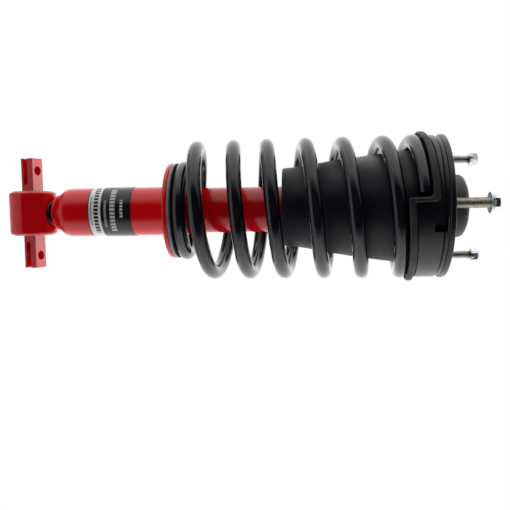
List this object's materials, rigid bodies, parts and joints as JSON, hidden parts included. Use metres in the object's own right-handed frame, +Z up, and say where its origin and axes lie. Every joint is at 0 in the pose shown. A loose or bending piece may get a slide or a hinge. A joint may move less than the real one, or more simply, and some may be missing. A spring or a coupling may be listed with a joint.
{
  "type": "strut assembly",
  "caption": "Coil-over strut with red damper tube, black coil spring, studded top mount, rubber dust boot and a bar-pin lower eye.",
  "frame": {"origin": "centre of the top mount's seating face, on the strut's axis", "axes": "+Z up the strut's axis towards the body studs, X along the bar pin, -Y towards the front stud"},
  "size_m": [0.1799, 0.1797, 0.5894],
  "materials": {
    "red_paint": "gloss red powder coat",
    "black_paint": "satin black e-coat",
    "spring_coat": "semi-gloss black powder coat",
    "rubber": "matte black rubber",
    "bump_foam": "dark microcellular foam",
    "nut_zinc": "clear zinc plate",
    "stud_zinc": "yellow zinc plate",
    "bare_steel": "oiled bare steel",
    "chromed_rod": "hard chrome, polished",
    "bronze_bearing": "bronze with a filled lining",
    "shim_plastic": "grey plastic",
    "label_film": "printed film, silver and black"
  },
  "bodies": {
    "top_mount": {"mount_plate": "black_paint", "stud_front": "stud_zinc", "stud_left": "stud_zinc", "stud_right": "stud_zinc", "nut_front": "nut_zinc", "nut_left": "nut_zinc", "nut_right": "nut_zinc", "spring_seat_housing": "black_paint", "upper_spring_isolator": "rubber", "mount_cover": "rubber", "lower_washer": "bare_steel", "mount_sleeve": "bare_steel", "lower_mount_bushing": "rubber", "upper_mount_bushing": "rubber", "upper_washer": "bare_steel", "rod_nut": "nut_zinc", "bumper_cup": "bare_steel", "jounce_bumper": "bump_foam", "dust_boot": "rubber", "coil_spring": "spring_coat", "piston_rod": "chromed_rod", "piston": "bare_steel", "piston_band": "bronze_bearing", "compression_discs": "bare_steel", "rebound_discs": "bare_steel", "piston_nut": "bare_steel", "rebound_stop": "rubber"},
    "damper_tube": {"outer_tube": "red_paint", "tube_base_cap": "red_paint", "eye_weld_neck": "red_paint", "eye_ring": "red_paint", "bushing_sleeve": "bare_steel", "bushing_rubber": "rubber", "lower_spring_seat": "red_paint", "seat_weld_bead": "red_paint", "seat_shim_ring": "shim_plastic", "lower_spring_isolator": "rubber", "label_band": "label_film", "pressure_tube": "bare_steel", "base_valve_body": "bare_steel", "base_valve_discs": "bare_steel", "base_valve_rivet": "bare_steel", "rod_guide": "bare_steel", "guide_bushing": "bronze_bearing", "rod_seal": "rubber", "strike_cap": "bare_steel"},
    "bar_pin": {"bar_pin": "red_paint"}
  },
  "joints": [
    {"name": "damper_stroke", "type": "slide", "parent": "top_mount", "child": "damper_tube", "axis": [0, 0, 1], "range_m": [0, 0.11], "stiffness_N_per_m": 40000, "springref_m": -0.005, "deforming": ["coil_spring", "jounce_bumper"]},
    {"name": "bar_pin_twist", "type": "hinge", "parent": "damper_tube", "child": "bar_pin", "pos_m": [0, 0, -0.51], "axis": [1, 0, 0], "range_deg": [-20, 20], "stiffness_Nm_per_rad": 90}
  ]
}
